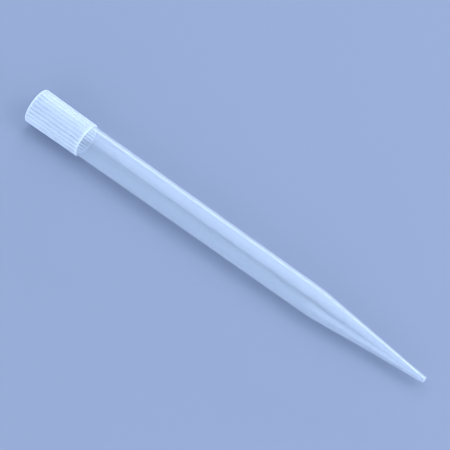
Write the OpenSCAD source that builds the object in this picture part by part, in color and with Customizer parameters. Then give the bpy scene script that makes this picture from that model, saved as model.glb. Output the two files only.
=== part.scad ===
// Large pipette tip, 5 mL size, moulded in one piece of natural polypropylene.
// It lies on its side as it comes to rest: the two lowest grip ribs and the corner
// where the barrel turns into the cone touch the surface, and the point hangs clear.

/* [Overall] */
// Length from the mouth rim to the delivery end
tip_l = 150; // [140:1:160]
// Length of the long cone at the delivery end
cone_l = 41.3; // [36:0.1:46]

/* [Collar] */
// Length of the ribbed collar
collar_l = 19.6; // [16:0.1:24]
// Diameter over the ribs at the mouth
collar_d_mouth = 11.7; // [11.5:0.05:12.2]
// Diameter over the ribs at the shoulder
collar_d_shoulder = 11.28; // [11.2:0.02:11.5]
// Number of grip ribs; an even number puts a gap on the floor line
rib_count = 26; // [22:2:30]
// Height of a rib over the collar wall
rib_h = 0.3; // [0.2:0.02:0.34]
// Radius of a rib's rounded crest
rib_r = 0.34; // [0.3:0.02:0.4]
// Width of the plain ring at the mouth rim
lip_w = 0.5; // [0.4:0.05:1]
// How far the rib crests stand over the plain ring
lip_drop = 0.05; // [0.04:0.01:0.1]

/* [Barrel] */
// Outer diameter just below the shoulder
barrel_d_top = 10.46; // [10.3:0.02:10.5]
// Outer diameter where the cone starts
barrel_d_end = 9.56; // [9.3:0.02:9.8]
// Wall thickness of the barrel
wall = 0.74; // [0.6:0.02:0.8]

/* [Socket] */
// Inner diameter at the mouth, inside the lead-in
mouth_id = 9.92; // [9.8:0.02:10.1]
// Diameter of the straight sealing land that grips the nozzle
land_d = 9.44; // [9.3:0.02:9.6]
// Depth of the sealing land below the rim
land_z = 9; // [6:0.5:10]
// Length of the sealing land
land_l = 5; // [3:0.5:6]
// Inner diameter just above the stop ledge
socket_end_d = 9.26; // [9.2:0.02:9.3]

/* [Delivery end] */
// Outer diameter at the delivery end
orifice_od = 1.93; // [1.8:0.01:2.2]
// Diameter of the delivery hole
orifice_id = 0.9; // [0.7:0.02:1.1]
// Length of the straight delivery hole
orifice_l = 1.5; // [1:0.1:2.5]

/* [Hidden] */
$fn = 96;

edge_r = 0.16;                       // rounding of the mouth rim
lead_in = 0.24;                      // chamfer inside the mouth
ledge_l = 0.6;                       // length of the stop ledge under the socket
end_c = 0.1;                         // chamfer of the delivery end
rib_c = 0.14;                        // chamfer on the ribs' ends at the shoulder
pitch = 360 / rib_count;
cone_z = tip_l - cone_l;             // where the cone starts, from the rim
bore_r_top = barrel_d_top / 2 - wall;
bore_r_end = barrel_d_end / 2 - wall;
orifice_z = tip_l - orifice_l;
orifice_in_r = orifice_id / 2 + 0.03;
crest_slope = (collar_d_mouth - collar_d_shoulder) / 2 / collar_l;

// Radius over the ribs, of the collar wall and of the ribs' centre lines, at z from the rim
function crest_r(z) = collar_d_mouth / 2 - crest_slope * z;
function root_r(z) = crest_r(z) - rib_h;
function rib_axis_r(z) = crest_r(z) - rib_r;
lip_r = crest_r(lip_w) - lip_drop;

// Points on an arc in the section, from angle a0 to a1
function arc(c, r, a0, a1, n) =
    [for (i = [0 : n]) let (a = a0 + (a1 - a0) * i / n) [c[0] + r * cos(a), c[1] + r * sin(a)]];

// The resting pose. The lower contact at the mouth is the pair of ribs beside the
// lowest gap, and the other contact is the corner between the barrel and the cone.
rest_r1 = rib_axis_r(lip_w) * cos(pitch / 2) + rib_r;
rest_r2 = barrel_d_end / 2;
rest_a = atan((rest_r1 - rest_r2) / (cone_z - lip_w));
rest_h = rest_r1 * cos(rest_a) + lip_w * sin(rest_a);
rest_x = -(tip_l * cos(rest_a) + (orifice_od / 2 - end_c) * sin(rest_a)
           - (lip_r - edge_r) * sin(rest_a)) / 2;

// Half section of the wall: [radius, distance from the rim]
module wall_section() {
    polygon(concat(
        // outside, from the rim down to the delivery end
        arc([lip_r - edge_r, edge_r], edge_r, -90, 0, 4),
        [[lip_r, lip_w],
         [root_r(lip_w), lip_w],
         [root_r(collar_l), collar_l],
         [barrel_d_top / 2, collar_l],
         [barrel_d_end / 2, cone_z],
         [orifice_od / 2 + end_c * (barrel_d_end - orifice_od) / 2 / cone_l, tip_l - end_c],
         [orifice_od / 2 - end_c, tip_l]],
        // inside, back up to the rim
        [[orifice_id / 2, tip_l],
         [orifice_id / 2, orifice_z],
         [orifice_in_r, orifice_z],
         [bore_r_end, cone_z],
         [bore_r_top, collar_l],
         [socket_end_d / 2, collar_l - ledge_l],
         [land_d / 2, land_z + land_l],
         [land_d / 2, land_z],
         [mouth_id / 2, lead_in * 2],
         [mouth_id / 2 + lead_in, 0]]
    ));
}

// Tube of the collar, barrel and cone, with its bore
module shell() {
    rotate_extrude() wall_section();
}

// One rounded grip rib, leaning with the collar's taper
module rib() {
    lean = atan(crest_slope);
    translate([rib_axis_r(0), 0, 0])
        rotate([0, -lean, 0])
            cylinder(r = rib_r, h = (collar_l + 1) / cos(lean));
}

// Sleeve that trims the ribs: a bevel over the plain ring and at the shoulder
module rib_sleeve() {
    z0 = lip_w / 2;
    inner = root_r(collar_l) - 0.3;
    rotate_extrude()
        polygon([
            [inner, z0],
            [lip_r - 0.03, z0],
            [crest_r(0) + 0.1, lip_w + 0.02],
            [crest_r(collar_l) + 0.1, collar_l - rib_c - 0.1],
            [crest_r(collar_l) - rib_c, collar_l],
            [inner, collar_l]
        ]);
}

module ribs() {
    intersection() {
        union() {
            for (i = [0 : rib_count - 1])
                rotate([0, 0, (i + 0.5) * pitch]) rib();
        }
        rib_sleeve();
    }
}

// Whole tip, lying along +X with the mouth at -X
module pipette_tip() {
    color([0.86, 0.91, 0.97, 0.6])
        translate([rest_x, 0, rest_h])
            rotate([0, 90 + rest_a, 0])
                union() {
                    shell();
                    ribs();
                }
}

pipette_tip();
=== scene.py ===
import math

import bpy
import numpy as np
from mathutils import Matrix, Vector


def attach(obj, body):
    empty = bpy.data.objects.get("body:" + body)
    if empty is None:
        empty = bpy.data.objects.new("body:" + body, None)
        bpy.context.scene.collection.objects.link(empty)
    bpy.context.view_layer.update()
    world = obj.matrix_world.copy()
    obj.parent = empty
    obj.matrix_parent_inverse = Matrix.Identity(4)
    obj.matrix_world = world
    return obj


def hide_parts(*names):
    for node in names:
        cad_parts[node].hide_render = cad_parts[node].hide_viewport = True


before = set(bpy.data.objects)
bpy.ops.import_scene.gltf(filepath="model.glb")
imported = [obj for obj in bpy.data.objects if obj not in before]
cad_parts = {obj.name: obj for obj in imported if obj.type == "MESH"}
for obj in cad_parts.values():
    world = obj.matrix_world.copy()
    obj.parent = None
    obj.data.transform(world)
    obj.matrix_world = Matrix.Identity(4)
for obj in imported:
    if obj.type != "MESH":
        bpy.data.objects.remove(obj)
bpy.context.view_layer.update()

NODE = "pipette_tip"
MM = 0.001

# ---------------------------------------------------------------- camera
# The photograph's viewing angle: 61 degrees down on the tip, its mouth turned away to the
# upper left and the delivery end nearer, through a long lens.
CAM_AZ = math.radians(38.655)     # from -Y towards +X
CAM_EL = math.radians(61.191)
CAM_DIST = 2.0
CAM_LENS = 529.84
CAM_AIM = (-0.00106, 0.00484)     # along the picture's right and up, from the middle of the tip


def camera_axes(az, el):
    z = Vector((math.cos(el) * math.sin(az), -math.cos(el) * math.cos(az), math.sin(el)))
    x = Vector((0, 0, 1)).cross(z).normalized()
    return x, z.cross(x), z


def add_camera():
    x, y, z = camera_axes(CAM_AZ, CAM_EL)
    aim = Vector((0, 0, 0.0052)) + x * CAM_AIM[0] + y * CAM_AIM[1]
    cam = bpy.data.cameras.new("camera")
    cam.lens = CAM_LENS
    cam.sensor_fit = "HORIZONTAL"
    cam.sensor_width = 36.0
    cam.clip_start = 0.05
    cam.clip_end = 60
    ob = bpy.data.objects.new("camera", cam)
    bpy.context.scene.collection.objects.link(ob)
    ob.location = aim + z * CAM_DIST
    ob.rotation_euler = z.to_track_quat("Z", "Y").to_euler()
    bpy.context.scene.camera = ob
    return ob


add_camera()

# ---------------------------------------------------------------- the tip's own numbers, mm
TIP_L, CONE_L, COLLAR_L = 150.0, 41.3, 19.6
CREST_0, CREST_1 = 11.7 / 2, 11.28 / 2
RIBS, RIB_H, RIB_R = 26, 0.30, 0.34
LIP_W, LIP_DROP = 0.5, 0.05
BARREL_0, BARREL_1 = 10.46 / 2, 9.56 / 2
WALL = 0.74
CONE_Z = TIP_L - CONE_L
PITCH = 2 * math.pi / RIBS
SLOPE = (CREST_0 - CREST_1) / COLLAR_L


def crest(s):
    return CREST_0 - SLOPE * s


def root(s):
    return crest(s) - RIB_H


LIP_R = crest(LIP_W) - LIP_DROP
R1 = (crest(LIP_W) - RIB_R) * math.cos(PITCH / 2) + RIB_R
LEAN = math.atan((R1 - BARREL_1) / (CONE_Z - LIP_W))
REST_H = R1 * math.cos(LEAN) + LIP_W * math.sin(LEAN)
REST_X = -(TIP_L * math.cos(LEAN) + (1.93 / 2 - 0.1) * math.sin(LEAN) - (LIP_R - 0.16) * math.sin(LEAN)) / 2


def place(rs, th, s):
    """Polar points about the tip's axis, angle 0 straight down, to the frame in metres."""
    down, side = rs * np.cos(th), rs * np.sin(th)
    x = REST_X + s * math.cos(LEAN) - down * math.sin(LEAN)
    z = REST_H - s * math.sin(LEAN) - down * math.cos(LEAN)
    return np.stack([x, side, z], axis=-1) * MM


# Angles round the tip: close together over the ribs' flanks, wider apart in the gaps.
def angle_steps():
    half = PITCH / 2
    rib = math.asin(math.sqrt(RIB_R ** 2 - (RIB_R - RIB_H) ** 2) / (CREST_0 - RIB_R))
    inside = [rib * k for k in (-0.985, -0.93, -0.82, -0.64, -0.42, -0.2, 0.0, 0.2, 0.42, 0.64, 0.82, 0.93, 0.985)]
    gap = [-half * 0.99 + (half * 0.99 - rib * 1.06) * k for k in (0.0, 0.4, 0.75, 0.93)]
    one = gap + inside + [-g for g in reversed(gap[1:])]
    out = []
    for i in range(RIBS):
        centre = (i + 0.5) * PITCH
        out += [centre + a for a in one]
    return np.array(out)


TH = angle_steps()
N = len(TH)


def rib_profile(s, lift=1.0):
    """Radius round the collar at s: half-round ribs on the tapered wall with a soft root."""
    rc = crest(s) - RIB_R
    off = (TH / PITCH) % 1.0 - 0.5
    a = off * PITCH
    q = RIB_R ** 2 - (rc * np.sin(a)) ** 2
    top = np.where(q > 0, rc * np.cos(a) + np.sqrt(np.maximum(q, 0)), 0)
    r0 = root(s)
    k = 0.05
    h = np.clip(0.5 + 0.5 * (top - r0) / k, 0, 1)
    r = r0 * (1 - h) + top * h + k * h * (1 - h)
    return r0 + (r - r0) * lift


def rows_outside():
    """(s, radii) rows from the rim's crown, down the outside, to the delivery end's rim."""
    rows = []
    e = 0.16
    for k in range(0, 7):
        a = math.radians(-90 + 15 * k)
        rows.append((e + e * math.sin(a), LIP_R - e + e * math.cos(a)))
    rows.append((0.34, LIP_R))
    rows.append((0.43, LIP_R))
    rows.append((0.475, LIP_R - 0.008))
    rows.append((0.495, LIP_R - 0.03))
    out = [(s, np.full(N, r)) for s, r in rows]
    # the ribs' mouth ends rise out of the ring's back
    s_list = [0.50, 0.515, 0.535, 0.57, 0.62, 0.8]
    lifts = [0.80, 0.9, 0.96, 0.99, 1.0, 1.0]
    for s, lf in zip(s_list, lifts):
        out.append((s, rib_profile(s, lf)))
    for s in np.linspace(1.6, COLLAR_L - 0.9, 14):
        out.append((float(s), rib_profile(float(s))))
    # ends of the ribs at the shoulder
    for s, lf in ((COLLAR_L - 0.40, 1.0), (COLLAR_L - 0.24, 1.0), (COLLAR_L - 0.17, 0.985),
                  (COLLAR_L - 0.11, 0.93), (COLLAR_L - 0.06, 0.85), (COLLAR_L - 0.02, 0.76), (COLLAR_L, 0.66)):
        out.append((s, rib_profile(s, lf)))
    base = rib_profile(COLLAR_L, 0.66)
    for f in (0.5, 0.12):
        out.append((COLLAR_L + 0.002, BARREL_0 + 0.03 + (base - BARREL_0 - 0.03) * f))
    out.append((COLLAR_L + 0.01, np.full(N, BARREL_0 + 0.03)))
    out.append((COLLAR_L + 0.03, np.full(N, BARREL_0 + 0.01)))
    # barrel, with a soft corner where it turns into the cone
    for s in np.concatenate([[COLLAR_L + 0.08, COLLAR_L + 0.4], np.linspace(COLLAR_L + 2, TIP_L - 2.5, 46),
                             [TIP_L - 1.6, TIP_L - 0.9, TIP_L - 0.4]]):
        out.append((float(s), np.full(N, outer_r(float(s)))))
    return out


def blend(s, corner, width, m0, m1, r_corner):
    """Two straight slopes joined by a parabola of the given width about the corner."""
    d = s - corner
    if d <= -width:
        return r_corner + m0 * d
    if d >= width:
        return r_corner + m1 * d
    return r_corner + (m0 + m1) / 2 * d + (m1 - m0) / (4 * width) * (d * d + width * width)


M_BARREL = (BARREL_1 - BARREL_0) / (CONE_Z - COLLAR_L)
M_CONE = (1.93 / 2 - BARREL_1) / CONE_L


def outer_r(s):
    return blend(s, CONE_Z, 1.6, M_BARREL, M_CONE, BARREL_1)


BORE_0, BORE_1 = BARREL_0 - WALL, BARREL_1 - WALL
ORI_R, ORI_L = 0.45, 1.5
ORI_Z = TIP_L - ORI_L
M_BORE = (BORE_1 - BORE_0) / (CONE_Z - COLLAR_L)
M_BCONE = (ORI_R + 0.03 - BORE_1) / (ORI_Z - CONE_Z)


def rows_end():
    """Round the delivery end's rim, from the outside to the hole."""
    r_out = 1.93 / 2
    out = []
    c = 0.1
    for k in range(1, 7):
        a = math.radians(90 * k / 6)
        out.append((TIP_L - c + c * math.sin(a), r_out - c + c * math.cos(a)))
    out.append((TIP_L, (r_out - c + ORI_R + 0.05) / 2))
    for k in range(0, 4):
        a = math.radians(90 * k / 3)
        out.append((TIP_L - 0.05 + 0.05 * math.cos(a), ORI_R + 0.05 - 0.05 * math.sin(a)))
    return [(s, np.full(N, r)) for s, r in out]


def rows_inside():
    """Back up the bore, from the delivery hole to the rim's lead-in."""
    rows = [(TIP_L - 0.6, ORI_R), (ORI_Z + 0.02, ORI_R), (ORI_Z - 0.05, ORI_R + 0.028)]
    for s in np.linspace(ORI_Z - 2, COLLAR_L + 1.5, 40):
        rows.append((float(s), blend(float(s), CONE_Z, 1.6, M_BORE, M_BCONE, BORE_1)))
    rows += [(COLLAR_L + 0.3, BORE_0 + 0.002), (COLLAR_L + 0.05, BORE_0 + 0.01), (COLLAR_L - 0.05, BORE_0 + 0.03),
             (COLLAR_L - 0.3, BORE_0 + 0.085), (COLLAR_L - 0.5, 4.60), (COLLAR_L - 0.62, 4.625), (COLLAR_L - 0.9, 4.633),
             (16.5, 4.676), (14.2, 4.718), (14.0, 4.72), (11.5, 4.72), (9.0, 4.72), (8.8, 4.722),
             (6.0, 4.805), (3.0, 4.889), (1.0, 4.944), (0.6, 4.955), (0.46, 4.965), (0.36, 5.01), (0.12, 5.135), (0.04, 5.17),
             (0.0, 5.22)]
    return [(s, np.full(N, r)) for s, r in rows]


# painted light: extra milk on the rim and the delivery end, as a share of the shoulder step's, standing in for
# light piped along the wall
RIM_LIGHT_PAINT, END_LIGHT_PAINT = 0.45, 0.4


def painted_light_at_edges(k, s, n_out, n_end):
    """Painted light: how much extra milk stands in for light piped along the wall, full on the shoulder's step,
    less on the rim and the delivery end, falling off fast."""
    if k < n_out:
        if s <= LIP_W:
            return RIM_LIGHT_PAINT
        if s < LIP_W + 0.3:
            return RIM_LIGHT_PAINT * (1.0 - (s - LIP_W) / 0.3)
        if COLLAR_L - 0.45 < s <= COLLAR_L + 0.08:
            return min(1.0, (s - COLLAR_L + 0.45) / 0.3)
        return 0.0
    if k < n_end:
        return END_LIGHT_PAINT
    return RIM_LIGHT_PAINT if s < 0.36 else 0.0


def build_tip():
    outside, end, inside = rows_outside(), rows_end(), rows_inside()
    rows = outside + end + inside
    n_out, n_end = len(outside), len(outside) + len(end)
    pts = np.concatenate([place(r, TH, np.full(N, s)) for s, r in rows])
    m = len(rows)
    i = np.arange(N)
    j = (i + 1) % N
    faces = []
    for k in range(m):
        a, b = k * N, ((k + 1) % m) * N
        faces.append(np.stack([a + i, b + i, b + j, a + j], axis=1))
    faces = np.concatenate(faces)
    me = bpy.data.meshes.new("tip_body")
    me.from_pydata([tuple(p) for p in pts], [], [tuple(int(v) for v in f) for f in faces])
    me.validate()
    me.update()
    # for the material: where each point is along the tip, how high it stands on a rib, and how much painted light
    # it gets at the rim, the shoulder's step and the delivery end
    def attribute(name, values):
        at = me.attributes.new(name, "FLOAT", "POINT")
        at.data.foreach_set("value", np.asarray(values, dtype=np.float32).ravel())

    attribute("along", [[s] * N for s, _ in rows])

    # the bore's points follow the height of the ribs outside them
    def rib_height(k, s, r):
        if not LIP_W < s <= COLLAR_L + 0.001:
            return np.full(N, 0.5 if s < COLLAR_L else 0.0)
        return np.clip(((r if k < n_out else rib_profile(s)) - root(s)) / RIB_H, 0, 1)

    attribute("rib", [rib_height(k, s, r) for k, (s, r) in enumerate(rows)])
    attribute("outer", [[1.0 if k < n_out else 0.0] * N for k in range(len(rows))])
    attribute("painted_edge_light", [[painted_light_at_edges(k, s, n_out, n_end)] * N for k, (s, _) in enumerate(rows)])
    ob = bpy.data.objects.new("tip_body", me)
    bpy.context.scene.collection.objects.link(ob)
    me.polygons.foreach_set("use_smooth", [True] * len(me.polygons))
    me.set_sharp_from_angle(angle=math.radians(50))
    # outward normals
    import bmesh
    bm = bmesh.new()
    bm.from_mesh(me)
    bmesh.ops.recalc_face_normals(bm, faces=bm.faces)
    bm.to_mesh(me)
    bm.free()
    return ob


tip = build_tip()
print("tip faces", len(tip.data.polygons), "verts", len(tip.data.vertices))


# ---------------------------------------------------------------- material
class Tree:
    """Short hands for a material's nodes."""

    def __init__(self, name):
        self.mat = bpy.data.materials.new(name)
        self.mat.use_nodes = True
        self.nt = self.mat.node_tree
        self.nt.nodes.clear()
        self.out = self.nt.nodes.new("ShaderNodeOutputMaterial")
        self.p = self.nt.nodes.new("ShaderNodeBsdfPrincipled")
        self.link(self.p.outputs["BSDF"], self.out.inputs["Surface"])

    def link(self, a, b):
        self.nt.links.new(a, b)

    def node(self, kind, **sets):
        n = self.nt.nodes.new(kind)
        for k, v in sets.items():
            setattr(n, k, v)
        return n

    def math(self, op, *args, clamp=False):
        n = self.node("ShaderNodeMath", operation=op, use_clamp=clamp)
        for i, v in enumerate(args):
            if isinstance(v, (int, float)):
                n.inputs[i].default_value = v
            else:
                self.link(v, n.inputs[i])
        return n.outputs[0]

    def curve(self, value, points):
        """A smooth function of value through the given points, all from 0 to 1."""
        n = self.node("ShaderNodeFloatCurve")
        c = n.mapping.curves[0]
        while len(c.points) > 2:
            c.points.remove(c.points[1])
        c.points[0].location = points[0]
        c.points[1].location = points[-1]
        for x, y in points[1:-1]:
            c.points.new(x, y)
        for q in c.points:
            q.handle_type = "VECTOR"
        n.mapping.update()
        self.link(value, n.inputs["Value"])
        return n.outputs[0]

    def noise(self, vector, scale, detail=3.0, rough=0.5):
        n = self.node("ShaderNodeTexNoise")
        n.inputs["Scale"].default_value = scale
        n.inputs["Detail"].default_value = detail
        n.inputs["Roughness"].default_value = rough
        self.link(vector, n.inputs["Vector"])
        return n.outputs["Fac"]

    def remap(self, value, a0, a1, b0, b1, smooth=False):
        n = self.node("ShaderNodeMapRange", clamp=True)
        if smooth:
            n.interpolation_type = "SMOOTHSTEP"
        for i, v in enumerate((a0, a1, b0, b1)):
            n.inputs[i + 1].default_value = v
        self.link(value, n.inputs["Value"])
        return n.outputs["Result"]


# How milky one surface of the wall is, looked at squarely: thick ribbed collar, thinner barrel,
# and a little clearer again in the cone.
MILK = [(0.0, 0.60), (19.5, 0.60), (19.7, 0.28), (60.0, 0.28), (105.0, 0.28), (130.0, 0.26), (150.0, 0.26)]
SATIN, FROST = 0.19, 0.55
GLOW = 0.5


def polypropylene():
    t = Tree("natural_polypropylene")

    def attribute(name):
        return t.node("ShaderNodeAttribute", attribute_name=name, attribute_type="GEOMETRY").outputs["Fac"]

    s = t.math("DIVIDE", attribute("along"), TIP_L, clamp=True)
    milk = t.curve(s, [(x / TIP_L, y) for x, y in MILK])
    # the ribs are thicker than the gaps between them
    milk = t.math("MULTIPLY", milk, t.remap(attribute("rib"), 0, 1, RIB_GAP, RIB_TOP))
    # the bore is smooth, and clearer than the ribbed outside of the collar
    outer = attribute("outer")
    collar = t.remap(s, (COLLAR_L - 0.1) / TIP_L, (COLLAR_L + 0.1) / TIP_L, 1.0, 0.0)
    inner_collar = t.math("MULTIPLY", collar, t.math("SUBTRACT", 1.0, outer))
    milk = t.math("MULTIPLY", milk, t.remap(inner_collar, 0, 1, 1.0, BORE_MILK))
    # faint flow streaks along the moulding, and a cloudier patch here and there
    co = t.node("ShaderNodeTexCoord").outputs["Object"]
    along = t.node("ShaderNodeMapping")
    along.inputs["Scale"].default_value = (14, 420, 420)
    t.link(co, along.inputs["Vector"])
    streaks = t.remap(t.noise(along.outputs[0], 1.0, 3.0), 0.3, 0.7, 0.88, 1.12)
    clouds = t.remap(t.noise(co, 90.0, 2.0), 0.3, 0.7, 0.92, 1.08)
    milk = t.math("MULTIPLY", milk, t.math("MULTIPLY", streaks, clouds))
    # painted light: extra milk at the rim, the shoulder's step and the delivery end stands in for light piped
    # along the wall and coming out there
    milk = t.math("ADD", milk, t.math("MULTIPLY", attribute("painted_edge_light"), EDGE_LIGHT_PAINT))
    # a slanting look goes through more of the wall, so it is milkier: the look bends into the
    # plastic first, so the way through grows by a third at most
    lw = t.node("ShaderNodeLayerWeight")
    lw.inputs["Blend"].default_value = 0.5
    facing = lw.outputs["Facing"]
    c = t.math("SUBTRACT", 1.0, facing)
    sin2 = t.math("SUBTRACT", 1.0, t.math("MULTIPLY", c, c))
    path = t.math("DIVIDE", 1.0, t.math("SQRT", t.math("SUBTRACT", 1.0, t.math("MULTIPLY", sin2, BEND))))
    # past the bore's outline the look stays in the wall, so the outline is milkiest
    rim = t.math("MULTIPLY", t.remap(c, 0.12, 0.52, RIM_MILK, 0.0, smooth=True), outer)
    thick = t.math("MULTIPLY", milk, t.math("ADD", path, rim))
    alpha = t.math("SUBTRACT", 1.0, t.math("POWER", 2.718282, t.math("MULTIPLY", thick, -1.0)), clamp=True)
    # milky body
    t.p.inputs["Base Color"].default_value = (0.83, 0.90, 1.0, 1)
    t.p.inputs["Roughness"].default_value = 0.5
    t.p.inputs["IOR"].default_value = 1.49
    t.p.inputs["Specular IOR Level"].default_value = 0.0
    glow = t.node("ShaderNodeBsdfTranslucent")
    glow.inputs["Color"].default_value = (0.83, 0.90, 1.0, 1)
    milky = t.node("ShaderNodeMixShader")
    milky.inputs[0].default_value = GLOW
    t.link(t.p.outputs[0], milky.inputs[1])
    t.link(glow.outputs[0], milky.inputs[2])
    # what isn't scattered goes on through, bent by the plastic; lamps go straight through
    bent = t.node("ShaderNodeBsdfRefraction")
    bent.inputs["Color"].default_value = (0.94, 0.97, 1.0, 1)
    bent.inputs["IOR"].default_value = 1.49
    t.link(t.remap(t.math("MULTIPLY", collar, outer), 0, 1, HAZE, HAZE_COLLAR), bent.inputs["Roughness"])
    straight = t.node("ShaderNodeBsdfTransparent")
    clear = t.node("ShaderNodeMixShader")
    t.link(t.node("ShaderNodeLightPath").outputs["Is Shadow Ray"], clear.inputs[0])
    t.link(bent.outputs[0], clear.inputs[1])
    t.link(straight.outputs[0], clear.inputs[2])
    body = t.node("ShaderNodeMixShader")
    t.link(alpha, body.inputs[0])
    t.link(clear.outputs[0], body.inputs[1])
    t.link(milky.outputs[0], body.inputs[2])
    # satin surface
    gloss = t.node("ShaderNodeBsdfGlossy")
    gloss.inputs["Color"].default_value = (1, 1, 1, 1)
    t.link(t.remap(collar, 0, 1, SATIN, FROST), gloss.inputs["Roughness"])
    fr = t.node("ShaderNodeFresnel")
    fr.inputs["IOR"].default_value = 1.49
    fresnel = fr.outputs[0]
    skin = t.node("ShaderNodeMixShader")
    t.link(fresnel, skin.inputs[0])
    t.link(body.outputs[0], skin.inputs[1])
    t.link(gloss.outputs[0], skin.inputs[2])
    t.link(skin.outputs[0], t.out.inputs["Surface"])
    # the plastic itself is faintly cloudy, so a long way through it looks white
    cloud = t.node("ShaderNodeVolumeScatter")
    cloud.inputs["Color"].default_value = (0.90, 0.94, 1.0, 1)
    cloud.inputs["Density"].default_value = CLOUD
    cloud.inputs["Anisotropy"].default_value = 0.3
    t.link(cloud.outputs[0], t.out.inputs["Volume"])
    # fine satin grain
    bump = t.node("ShaderNodeBump")
    bump.inputs["Strength"].default_value = 0.08
    bump.inputs["Distance"].default_value = 0.0002
    t.link(t.noise(co, 2600.0, 2.0), bump.inputs["Height"])
    t.link(bump.outputs[0], gloss.inputs["Normal"])
    t.link(bump.outputs[0], t.p.inputs["Normal"])
    t.link(bump.outputs[0], glow.inputs["Normal"])
    return t.mat


RIB_GAP, RIB_TOP = 0.45, 1.5
# painted light: how much extra milk the rim, shoulder step and delivery end get, standing in for light piped along
# the wall
EDGE_LIGHT_PAINT = 3.0
BORE_MILK = 0.4
BEND = 0.45
RIM_MILK = 1.8
CLOUD = 200
HAZE, HAZE_COLLAR = 0.05, 0.60
tip.data.materials.append(polypropylene())

# ---------------------------------------------------------------- floor, light
def simple(name, rgb, rough=0.6):
    mat = bpy.data.materials.new(name)
    mat.use_nodes = True
    p = mat.node_tree.nodes["Principled BSDF"]
    p.inputs["Base Color"].default_value = (*rgb, 1)
    p.inputs["Roughness"].default_value = rough
    return mat


def add_floor():
    s = 3.0
    me = bpy.data.meshes.new("floor")
    me.from_pydata([(-s, -s, 0), (s, -s, 0), (s, s, 0), (-s, s, 0)], [], [(0, 1, 2, 3)])
    ob = bpy.data.objects.new("floor", me)
    bpy.context.scene.collection.objects.link(ob)
    me.materials.append(simple("floor", (0.215, 0.25, 0.335)))
    return ob


def area(name, loc, target, size, power, color=(1, 1, 1), size_y=None):
    li = bpy.data.lights.new(name, "AREA")
    li.shape = "RECTANGLE"
    li.size = size
    li.size_y = size_y or size
    li.energy = power
    li.color = color
    ob = bpy.data.objects.new(name, li)
    bpy.context.scene.collection.objects.link(ob)
    ob.location = loc
    ob.rotation_euler = (Vector(loc) - Vector(target)).to_track_quat("Z", "Y").to_euler()
    return ob


add_floor()
LIGHT = (0.75, 0.85, 1.0)
area("key", (-0.26, 0.985, 1.1), (-0.26, 0.985, 0), 0.70, 12.6, LIGHT, 2.6)
area("back", (-0.50, 1.7, 0.26), (-0.02, 0, 0), 1.6, 10, LIGHT, 0.42)
area("top", (0.85, 0.45, 1.25), (0, 0, 0), 0.9, 12, LIGHT, 0.9)
area("side", (1.6, -0.3, 0.55), (0, 0, 0), 0.9, 8, LIGHT, 0.9)
area("fill", (0.75, -2.0, 0.80), (0.75, 0, 0), 2.4, 34, LIGHT, 1.9)
w = bpy.data.worlds.new("world")
bpy.context.scene.world = w
w.use_nodes = True
w.node_tree.nodes["Background"].inputs[0].default_value = (0.60, 0.74, 1.0, 1)
w.node_tree.nodes["Background"].inputs[1].default_value = 0.88

sc = bpy.context.scene
sc.view_settings.view_transform = "Standard"
sc.cycles.max_bounces = 16
sc.cycles.transmission_bounces = 12
sc.cycles.transparent_max_bounces = 24
sc.cycles.volume_bounces = 6
sc.cycles.use_denoising = True
sc.cycles.filter_width = 1.2

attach(tip, "root")
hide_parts(NODE)
